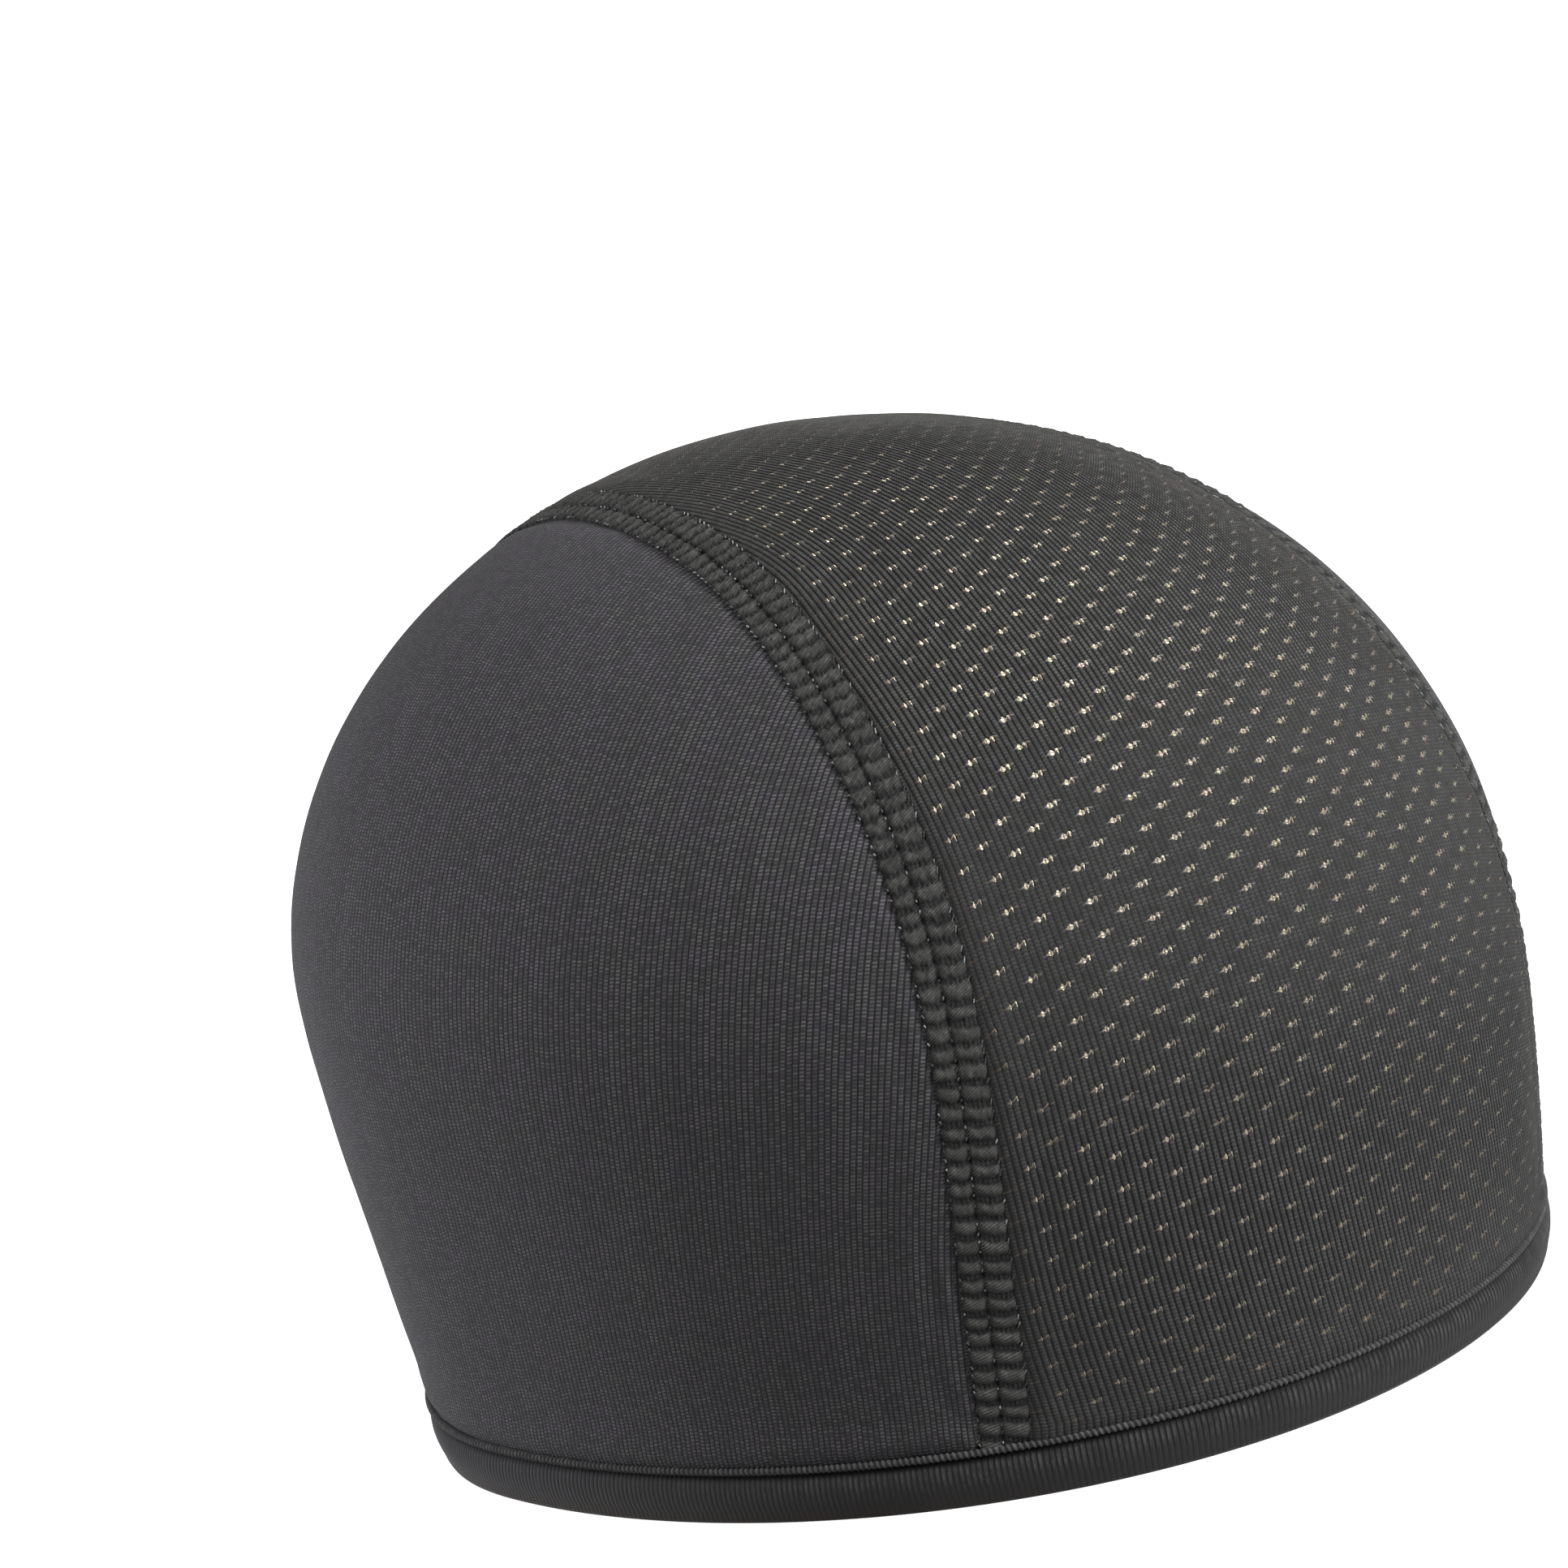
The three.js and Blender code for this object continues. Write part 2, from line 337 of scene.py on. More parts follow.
def grid_faces(rows, columns, close_rows=False, close_columns=False):
    """Quads between the points of a grid."""
    i = np.arange(rows if close_rows else rows - 1)
    j = np.arange(columns if close_columns else columns - 1)
    i, j = np.meshgrid(i, j, indexing="ij")
    i2, j2 = (i + 1) % rows, (j + 1) % columns
    quads = np.stack([i * columns + j, i * columns + j2, i2 * columns + j2, i2 * columns + j], -1)
    return quads.reshape(-1, 4)


# Colours. A pair is the two ends of a slow change.

SIDE_GROUND = (0.035, 0.0335, 0.039, 1), (0.042, 0.041, 0.045, 1)
# Painted shade in the grooves between the side panels' knit columns, and painted highlight on their loops
SIDE_LINE_SHADE = (0.014, 0.013, 0.017, 1)
SIDE_THREAD_HIGHLIGHT = (0.142, 0.130, 0.154, 1), (0.132, 0.138, 0.134, 1)
SIDE_SHEEN = (0.55, 0.55, 0.60, 1)

MESH_GROUND = (0.030, 0.0295, 0.029, 1), (0.039, 0.039, 0.038, 1)
# Painted highlight on the mesh ribs' stitches
MESH_STITCH_HIGHLIGHT = (0.098, 0.100, 0.101, 1)
# Painted shade over the mesh towards the front hem
MESH_FRONT_SHADE = (0.002, 0.002, 0.007, 1)
# Painted shade in the valleys between the mesh ribs
MESH_VALLEY_SHADE = (0.012, 0.012, 0.015, 1)
# Eyelet arms painted pale to stand in for light showing through the knit; the brown end is their painted
# shade near the seams
EYELET_ARM_LIGHT = (0.105, 0.062, 0.036, 1), (0.27, 0.257, 0.24, 1)
MESH_SHEEN = (0.6, 0.6, 0.58, 1)

# The seam's painted shade and painted light, set by its shade attribute
SEAM_SHADED_TO_LIT = (0.006, 0.006, 0.008, 1), (0.074, 0.074, 0.072, 1)
SEAM_FLECK = (0.150, 0.154, 0.154, 1)
SEAM_SHEEN = (0.6, 0.62, 0.62, 1)
NEEDLE_THREAD = (0.030, 0.031, 0.034, 1), (0.30, 0.32, 0.33, 1)
NEEDLE_SHEEN = (0.7, 0.7, 0.7, 1)
# The cord's painted shade between its strands and painted light on them
CORD_SHADED_TO_LIT = (0.012, 0.012, 0.015, 1), (0.064, 0.064, 0.068, 1)
CORD_FLECK = (0.118, 0.119, 0.125, 1)
CORD_SHEEN = (0.6, 0.6, 0.62, 1)

HEM_GROUND = (0.030, 0.0285, 0.031, 1), (0.038, 0.036, 0.040, 1)
# Painted shade, browner, along the hem's foot
HEM_FOOT_SHADE = (0.036, 0.029, 0.024, 1)
# Painted shade over the front middle of the hem
HEM_BROW_SHADE = (0.0185, 0.0175, 0.0185, 1)
# Painted highlight on the hem ribs' stitches, and painted shade in their valleys
HEM_STITCH_HIGHLIGHT = (0.094, 0.092, 0.098, 1)
HEM_VALLEY_SHADE = (0.010, 0.009, 0.011, 1)
# Painted shade in the groove under the hem's cord
HEM_GROOVE_SHADE = (0.006, 0.006, 0.008, 1)
HEM_SHEEN = (0.55, 0.56, 0.60, 1)


# Materials


class Nodes:
    """Adds and links the nodes of one material."""

    def __init__(self, name):
        self.material = bpy.data.materials.new(name)
        self.material.use_nodes = True
        self.tree = self.material.node_tree
        self.tree.nodes.clear()

    def add(self, kind, inputs=None, **settings):
        node = self.tree.nodes.new(kind)
        for key, value in settings.items():
            setattr(node, key, value)
        for key, value in (inputs or {}).items():
            self.put(node.inputs[key], value)
        return node

    def put(self, socket, value):
        if isinstance(value, bpy.types.NodeSocket):
            self.tree.links.new(value, socket)
        elif value is not None:
            socket.default_value = value

    def math(self, operation, a, b=None, c=None):
        return self.add("ShaderNodeMath", {0: a, 1: b, 2: c}, operation=operation).outputs[0]

    def times(self, a, b):
        return self.math("MULTIPLY", a, b)

    def scaled(self, value, factor, offset):
        return self.math("MULTIPLY_ADD", value, factor, offset)

    def split(self, vector):
        return self.add("ShaderNodeSeparateXYZ", {0: vector}).outputs

    def knit(self):
        """Across and along the knit."""
        return self.split(self.add("ShaderNodeUVMap", uv_map="knit").outputs[0])[:2]

    def place(self):
        """The place on the object, in metres."""
        return self.add("ShaderNodeTexCoord").outputs["Object"]

    def shade(self):
        return self.add("ShaderNodeAttribute", attribute_name="shade").outputs["Fac"]

    def noise(self, scale, detail=2.0, roughness=0.5):
        inputs = {"Vector": self.place(), "Scale": scale, "Detail": detail, "Roughness": roughness}
        return self.add("ShaderNodeTexNoise", inputs).outputs["Fac"]

    def random(self, a, b):
        """One random value for each pair of whole numbers."""
        pair = self.add("ShaderNodeCombineXYZ", {0: a, 1: b}).outputs[0]
        node = self.add("ShaderNodeTexWhiteNoise", noise_dimensions="2D")
        self.put(node.inputs["Vector"], pair)
        return node.outputs["Value"]

    def mix(self, share, a, b):
        node = self.add("ShaderNodeMix", {"Factor": share, "A": a, "B": b}, data_type="RGBA")
        return node.outputs["Result"]

    def band(self, value, low, high):
        """0 below low and 1 above high, eased between."""
        inputs = {"Value": value, "From Min": low, "From Max": high}
        node = self.add("ShaderNodeMapRange", inputs, interpolation_type="SMOOTHSTEP")
        return node.outputs["Result"]

    def from_middle(self, value):
        """0 in the middle of each whole step of value, 1 at its borders."""
        part = self.math("FRACT", value)
        return self.math("ABSOLUTE", self.scaled(part, 2.0, -1.0))

    def principled(self, inputs):
        """The finished material: a Principled shader with these inputs."""
        shader = self.add("ShaderNodeBsdfPrincipled", inputs)
        self.add("ShaderNodeOutputMaterial", {0: shader.outputs[0]})
        return self.material

    def cloth(self, colour, height, depth, sheen, sheen_tint, roughness=0.9):
        """The finished material of a cloth, with a relief so many millimetres deep."""
        bump = self.add("ShaderNodeBump", {"Strength": 1.0, "Distance": depth * MM, "Height": height})
        return self.principled({
            "Base Color": colour,
            "Roughness": roughness,
            "Specular IOR Level": 0.25,
            "Sheen Weight": sheen,
            "Sheen Roughness": 0.45,
            "Sheen Tint": sheen_tint,
            "Normal": bump.outputs[0],
        })


def smooth_knit():
    """Columns of small bright dashes of painted highlight on the loops, each with its own lightness, with
    dark lines of painted shade in the grooves between the columns.
    """
    n = Nodes("smooth_knit")
    column, course = n.knit()
    number = n.math("FLOOR", column)
    course = n.scaled(n.math("MODULO", number, 2.0), 0.5, course)
    course = n.math("ADD", course, n.random(number, 5.0))
    across, along = n.from_middle(column), n.from_middle(course)
    dash = n.times(n.band(across, 0.90, 0.40), n.band(along, 0.85, 0.20))
    line = n.band(across, 0.45, 0.95)
    lightness = n.random(number, n.math("FLOOR", course))
    lightness = n.scaled(lightness, 0.84, 0.16)
    by_column = n.scaled(n.random(number, 0.0), 0.36, 0.80)
    lightness = n.times(lightness, by_column)
    drift = n.noise(18.0, 2.0)
    tint = n.noise(260.0, 1.0)
    ground = n.mix(drift, *SIDE_GROUND)
    # Painted shade in the grooves between columns, and painted highlight on the dashes of the loops
    colour = n.mix(line, ground, SIDE_LINE_SHADE)
    thread = n.mix(n.band(tint, 0.4, 0.6), *SIDE_THREAD_HIGHLIGHT)
    colour = n.mix(n.times(dash, lightness), colour, thread)
    height = n.math("SUBTRACT", n.times(dash, 0.5), n.times(line, 0.6))
    return n.cloth(colour, height, 0.06, 0.10, SIDE_SHEEN)


def mesh_knit():
    """Ribs with a fine slanting stitch in painted highlight, painted shade in the valleys, and threads across
    each eyelet painted pale to stand in for light showing through the knit.

    Along is close to the distance from the front hem. The ribs' painted highlight and painted shade are
    weakest between about 66 and 86 mm, where the head stretches the cloth most. Painted shade darkens the
    mesh from the front hem to about 100 mm.
    """
    n = Nodes("mesh_knit")
    rib, along = n.knit()
    across = n.from_middle(rib)
    stitch = n.from_middle(n.scaled(across, 0.35, n.math("DIVIDE", along, 0.55)))
    valley = n.band(across, 0.35, 0.90)
    fleck = n.noise(650.0, 3.0, 0.7)
    drift = n.noise(16.0, 2.0)
    ground = n.mix(drift, *MESH_GROUND)
    low_relief = n.scaled(n.band(along, 8.0, 28.0), 0.40, 0.45)
    low_relief = n.times(n.band(along, 66.0, 44.0), low_relief)
    relief = n.math("MAXIMUM", n.band(along, 86.0, 108.0), low_relief)
    relief = n.scaled(relief, 0.62, 0.38)
    # Painted highlight on the rib stitches and painted shade in the valleys, both weaker where the relief is
    # low
    lit = n.times(n.band(stitch, 0.9, 0.2), n.band(fleck, 0.30, 0.70))
    lit = n.times(lit, n.scaled(relief, 0.60, 0.40))
    colour = n.mix(lit, ground, MESH_STITCH_HIGHLIGHT)
    # Painted shade, darkening the mesh from the front hem to about 100 mm
    front_shade = n.times(n.band(along, 110.0, 90.0), 0.24)
    colour = n.mix(front_shade, colour, MESH_FRONT_SHADE)
    valley = n.times(valley, relief)
    colour = n.mix(valley, colour, MESH_VALLEY_SHADE)
    cell = n.math("FLOOR", n.scaled(rib, 1 / EYELET_RIBS, 0.5))
    from_column = n.scaled(cell, -EYELET_RIBS, rib)
    half_step = n.times(n.math("MODULO", n.math("ABSOLUTE", cell), 2.0), -EYELET_STEP / 2)
    part = n.math("FRACT", n.scaled(n.math("ADD", along, half_step), 1 / EYELET_STEP, 0.5))
    from_row = n.scaled(part, EYELET_STEP, -EYELET_STEP / 2)
    # Pale arms round each eyelet, painted light showing through the knit, dimmer and browner near the seams
    # in painted shade
    from_arm = n.math("ABSOLUTE", n.scaled(from_column, -0.16, from_row))
    reach = n.math("ABSOLUTE", n.math("SUBTRACT", from_column, 0.4))
    arm = n.times(n.band(from_arm, 0.17, 0.05), n.band(reach, 1.8, 0.7))
    shade = n.shade()
    arm = n.times(arm, n.band(shade, 0.0, 0.25))
    colour = n.mix(arm, colour, n.mix(shade, *EYELET_ARM_LIGHT))
    height = n.math("SUBTRACT", n.times(n.band(stitch, 0.9, 0.2), 0.3), valley)
    return n.cloth(colour, height, 0.10, 0.10, MESH_SHEEN)


def seam_thread():
    """Slanting threads with light flecks, in painted shade wherever the strip's shade attribute is low and
    painted light where it is high.
    """
    n = Nodes("seam_thread")
    across, along = n.knit()
    shade = n.shade()
    thread = n.from_middle(n.scaled(across, 0.4, n.math("DIVIDE", along, 0.40)))
    fleck = n.noise(750.0, 4.0, 0.75)
    ground = n.mix(shade, *SEAM_SHADED_TO_LIT)
    lit = n.times(n.band(thread, 0.9, 0.3), n.band(fleck, 0.42, 0.72))
    colour = n.mix(n.times(lit, shade), ground, SEAM_FLECK)
    strands = n.times(n.band(thread, 1.0, 0.2), 0.6)
    height = n.math("ADD", strands, n.times(fleck, 0.9))
    return n.cloth(colour, height, 0.12, 0.03, SEAM_SHEEN)


def stitch_thread():
    """The twisted thread of the needle lines."""
    n = Nodes("stitch_thread")
    along = n.knit()[1]
    twist = n.from_middle(n.math("DIVIDE", along, 0.3))
    fleck = n.noise(420.0, 2.0)
    colour = n.mix(n.band(fleck, 0.42, 0.66), *NEEDLE_THREAD)
    return n.cloth(colour, twist, 0.03, 0.2, NEEDLE_SHEEN, 0.7)


def cord_thread():
    """The hem's cord: painted light on its strands and painted shade between them."""
    n = Nodes("cord_thread")
    shade = n.shade()
    fleck = n.noise(700.0, 3.0, 0.7)
    ground = n.mix(shade, *CORD_SHADED_TO_LIT)
    colour = n.mix(n.times(n.band(fleck, 0.45, 0.75), shade), ground, CORD_FLECK)
    return n.cloth(colour, fleck, 0.06, 0.2, CORD_SHEEN, 0.8)


def hem_rib():
    """Ribs in painted highlight and painted shade on the upper turned edge, clearest at the stretched front;
    painted shade in the groove, over the front middle and, browner, at the foot.
    """
    n = Nodes("hem_rib")
    rib, along = n.knit()
    across = n.from_middle(rib)
    x, y = n.split(n.place())[:2]
    front = n.band(y, -0.020, -0.080)
    # The ribs' painted highlight and painted shade show on the upper part of the edge, and most at the front
    shown = n.times(n.band(along, 2.2, 5.2), n.scaled(front, 0.75, 0.25))
    valley = n.times(n.band(across, 0.45, 0.98), n.scaled(shown, 0.6, 0.12))
    streak = n.noise(450.0, 3.0, 0.7)
    drift = n.noise(14.0, 2.0)
    ground = n.mix(drift, *HEM_GROUND)
    # Painted shade, browner, towards the hem's foot
    ground = n.mix(n.band(along, 3.0, 0.2), ground, HEM_FOOT_SHADE)
    # Painted shade over the front middle of the hem, which also dims its stitches
    brow_shade = n.band(y, -0.045, -0.085)
    brow_shade = n.times(brow_shade, n.band(x, 0.058, 0.022))
    ground = n.mix(brow_shade, ground, HEM_BROW_SHADE)
    lit = n.times(n.band(streak, 0.35, 0.7), shown)
    lit = n.times(n.band(across, 0.6, 0.1), lit)
    lit = n.times(lit, n.scaled(brow_shade, -0.35, 1.0))
    colour = n.mix(lit, ground, HEM_STITCH_HIGHLIGHT)
    colour = n.mix(valley, colour, HEM_VALLEY_SHADE)
    # Painted shade in the groove under the cord
    colour = n.mix(n.band(along, 5.9, 6.9), colour, HEM_GROOVE_SHADE)
    height = n.math("SUBTRACT", n.times(streak, 0.4), valley)
    return n.cloth(colour, height, 0.07, 0.25, HEM_SHEEN)


SMOOTH = smooth_knit()
MESH = mesh_knit()
SEAM = seam_thread()
STITCH = stitch_thread()
CORD = cord_thread()
HEM = hem_rib()


# Mesh panel


MESH_LEVEL = HEM_HEIGHT - 1.2


def course_rise(place, out):
    """How far a course has risen along the cloth at a distance out from the middle."""
    bend = COURSE_BEND * (np.clip(place, 0, 140) / 100) ** 2
    return -COURSE_TILT * out + 0.5 * bend * out**2


def grid_value(table, row, column):
    """Values between the points of a table, by fractional row and column."""
    row = np.clip(row, 0, table.shape[0] - 1.001)
    column = np.clip(column, 0, table.shape[1] - 1.001)
    i, j = row.astype(int), column.astype(int)
    u, v = row - i, column - j
    low = table[i, j] * (1 - v) + table[i, j + 1] * v
    high = table[i + 1, j] * (1 - v) + table[i + 1, j + 1] * v
    return low * (1 - u) + high * u


# OUT_STEP is the step of the table of x, and TABLE_END is where the tables by distance end.
# NARROWEST_RIB says how many ribs are made, and no eyelet opens within HEM_MARGIN of a hem.
OUT_STEP = 0.5
TABLE_END = 390
NARROWEST_RIB = 0.70
HEM_MARGIN = 4.5


def cloth_cuts():
    """The cloth measured in 241 cuts across the cap.

    Gives the cuts, the length along the middle to each, the distance out to the panel's edge,
    and x for each OUT_STEP of distance out.
    """
    cuts, shares = np.linspace(0, 1, 241), np.linspace(0, 1, 61)
    length = running_length(over_crown(cuts, 0.0, MESH_LEVEL))
    edge_x = beside_seam(cuts, -SEAM_WIDTH / 2 + TUCK_UNDER_SEAM)[..., 0]
    lines = over_crown(cuts[:, None], shares[None, :] * edge_x[:, None], MESH_LEVEL)
    out = np.stack([running_length(line) for line in lines])
    marks = np.arange(0, out[:, -1].max() + 1, OUT_STEP)
    x_table = [np.interp(marks, out[i], shares * edge_x[i]) for i in range(len(cuts))]
    return cuts, length, out[:, -1], np.stack(x_table)


def eyelet_rows(total):
    """Where the rows of eyelets cross the middle, from a little before the front hem to past the back hem."""
    rows = [-7.0]
    while rows[-1] < total + 4:
        rows.append(rows[-1] + smooth_table(EYELET_PITCH, np.clip(rows[-1], 0, TABLE_END)) / 2)
    return np.array(rows)


def joined_faces(quads):
    """Quads without repeated corners: those with one become triangles, and those with more go."""
    repeated = quads == np.roll(quads, -1, axis=1)
    whole = quads[repeated.sum(1) == 0]
    one = repeated.sum(1) == 1
    tips = quads[one][~repeated[one]].reshape(-1, 3)
    return np.concatenate([whole, np.concatenate([tips, np.full((len(tips), 1), -1)], 1)])


def mesh_panel():
    """The ribbed mesh from the front hem over the crown to the nape, with a real opening at each eyelet."""
    cuts, length, cut_edge, x_table = cloth_cuts()
    total = length[-1]

    # Rows of points, a few about each row of eyelets, and columns of points, two for each rib
    rows = eyelet_rows(total)
    steps = []
    for row in rows:
        stations = EYELET_STATIONS if row < 0.5 * total else REAR_STATIONS
        steps += [row + station for station in stations]
    steps = np.array(steps)
    over = np.clip(steps / total, 0, 1)
    pitch = smooth_table(RIB_PITCH, over)[:, None]
    widening = smooth_table(RIB_WIDENING, over)[:, None] / (2 * WIDENING_OUT)
    half_ribs = int(np.ceil(cut_edge.max() / NARROWEST_RIB)) * 2
    j = np.arange(-half_ribs, half_ribs + 1)
    number_out = j[None, :] / 2
    lean = smooth_table(MIDDLE_RIB, np.clip(steps, 0, TABLE_END))[:, None]
    wanted = pitch * number_out * (1 + widening * pitch * np.abs(number_out)) + lean

    def edge_at(side):
        """How far out each row meets the panel's edge on one side."""
        edge = np.interp(steps, length, cut_edge)
        for _ in range(4):
            edge = np.interp(steps + course_rise(steps, side * edge), length, cut_edge)
        return edge[:, None]

    left, right = -edge_at(-1), edge_at(1)
    out = np.clip(wanted, left, right)
    place = steps[:, None] + course_rise(steps[:, None], out)
    beyond = (place <= 0) | (place >= total)
    place = np.clip(place, 0, total)
    cut = np.interp(place, length, np.arange(len(cuts)))
    x = np.sign(out) * grid_value(x_table, cut, np.abs(out) / OUT_STEP)
    base = over_crown(np.interp(place, length, cuts), x, MESH_LEVEL)
    normal = normal_at(base)

    # Height: ribs, a soft fullness above the hem, and a turn down at the seams and hem
    is_valley = (j % 2 == 0)[None, :]
    to_seam = np.where(out > 0, right - out, out - left)
    to_hem = np.minimum(place, total - place)
    height = np.where(is_valley, 0.0, RIB_HEIGHT) * smooth_table(RIB_RELIEF, np.clip(place, 0, TABLE_END))
    height = height + 0.35 * np.exp(-(((to_hem - 3.2) / 2.4) ** 2))
    height = height + 0.20 * np.exp(-(((to_seam - TUCK_UNDER_SEAM - 2.4) / 2.0) ** 2))
    height = height - 0.8 * np.exp(-((to_seam / 1.1) ** 2)) - 0.9 * np.exp(-((to_hem / 1.1) ** 2))
    height = height + 0.12 * smooth_noise(height.shape, (26, 12), 3)
    points = base + normal * height[..., None]

    # One shared point where each row meets a seam
    inside = (wanted > left) & (wanted < right)
    count = int(inside.sum())
    index = np.full(wanted.shape, -1)
    index[inside] = np.arange(count)
    row_ids = np.arange(len(steps))[:, None]
    index = np.where(wanted <= left, count + row_ids, index)
    index = np.where(wanted >= right, count + len(steps) + row_ids, index)
    rib_number = np.broadcast_to(number_out, wanted.shape)
    course = np.interp(steps, rows, np.arange(len(rows)) * EYELET_STEP / 2)
    rib_left = [np.interp(left[i, 0], wanted[i], number_out[0]) for i in range(len(steps))]
    rib_right = [np.interp(right[i, 0], wanted[i], number_out[0]) for i in range(len(steps))]
    flat = np.concatenate([points[inside], points[:, 0], points[:, -1]])
    rib = np.concatenate([rib_number[inside], rib_left, rib_right])
    along_uv = np.concatenate([np.broadcast_to(course[:, None], wanted.shape)[inside], course, course])
    sharp = np.concatenate([np.broadcast_to(is_valley, wanted.shape)[inside], np.zeros(2 * len(steps), bool)])

    # Eyelets: a valley's points are doubled and their copies drawn apart, so that the ribs bow round a hole
    use_left, use_right = index.copy(), index.copy()
    extra, extra_rib, extra_course = [], [], []
    next_index = len(flat)
    for number, row in enumerate(rows):
        middle = np.nonzero(np.abs(steps - row) < 0.3)[0]
        for column in range(-half_ribs // 2 + 1, half_ribs // 2):
            part = (column - EYELET_RIBS * (number % 2)) % (2 * EYELET_RIBS)
            k = half_ribs + 2 * column
            if part not in (0, 1) or not inside[middle, k - 2 : k + 3].all():
                continue
            i = middle[0]
            seam_share = np.clip((to_seam[i, k] - TUCK_UNDER_SEAM - 1.8) / 13.0, 0, 1)
            if seam_share <= 0 or to_hem[i, k] < HEM_MARGIN:
                continue
            open_share = (0.28 + 0.72 * seam_share) * smooth_table(EYELET_OPENING, place[i, k])
            half_width = EYELET_HALF_WIDTH if part == 0 else SECOND_HALF_WIDTH
            spread = half_width * open_share * rng.uniform(0.85, 1.1)
            for i in middle:
                across = unit(points[i, k + 1] - points[i, k - 1])
                along = unit(points[i + 1, k] - points[i - 1, k])
                shift = along * (-0.06 if part == 0 else 0.30)
                low = points[i, k] - normal[i, k] * 0.05
                extra += [low - across * spread + shift, low + across * spread + shift]
                extra_rib += [float(column) - 0.2, float(column) + 0.2]
                extra_course += [course[i]] * 2
                use_left[i, k], use_right[i, k] = next_index, next_index + 1
                next_index += 2
                push = across * spread * 0.30
                flat[index[i, k - 1]] -= push
                flat[index[i, k + 1]] += push
    # The shade attribute sets the eyelet arms' painted light: low and brown near the seams, painted shade,
    # higher where the eyelets open wider, and none near the hem
    seam_fade = np.clip((to_seam - TUCK_UNDER_SEAM - 2.0) / 14.0, 0, 1)
    opening = smooth_table(EYELET_OPENING, place) - 0.25
    fade = (0.13 + 0.87 * seam_fade * np.clip(opening / 0.80, 0, 1)) * (to_hem > HEM_MARGIN)
    shade = np.concatenate([fade[inside], np.zeros(2 * len(steps)), np.full(len(extra), 0.6)])
    flat = np.concatenate([flat, extra])
    uv = np.stack([np.concatenate([rib, extra_rib]), np.concatenate([along_uv, extra_course])], -1)
    sharp = np.concatenate([sharp, np.zeros(len(extra), bool)])

    # Faces, without those past the hem, and with repeated corners joined
    corners = (use_right[:-1, :-1], use_left[:-1, 1:], use_left[1:, 1:], use_right[1:, :-1])
    past = beyond[:-1, :-1] & beyond[:-1, 1:] & beyond[1:, 1:] & beyond[1:, :-1]
    faces = joined_faces(np.stack(corners, -1)[~past])
    used = np.unique(faces[faces >= 0])
    renumber = np.full(len(flat), -1)
    renumber[used] = np.arange(len(used))
    faces = np.where(faces >= 0, renumber[faces], -1)
    flat, uv, sharp, shade = flat[used], uv[used], sharp[used], shade[used]
    return make_piece("mesh_knit_panel", flat, faces, uv, MESH, sharp=sharp, shade=shade)


# Side panels


def knit_columns(points):
    """Knit column numbers of points on the +X side, evenly spaced round each level."""
    z = points[:, 2]
    front, back, side = section(z)
    y_from_middle = points[:, 1] - WIDEST_Y
    reach = np.where(y_from_middle < 0, front, back)
    turn = np.arcsin(np.clip(y_from_middle / np.maximum(reach, 1e-6), -1, 1))
    shares = np.linspace(0, 1, 33)
    angle = turn[:, None] * shares
    line = np.stack([side[:, None] * np.cos(angle), reach[:, None] * np.sin(angle)], -1)
    arc = np.linalg.norm(np.diff(line, axis=1), axis=-1).sum(1) * np.sign(turn)
    return arc / smooth_table(COLUMN_PITCH, z)


SIDE_THICKNESS = 0.9


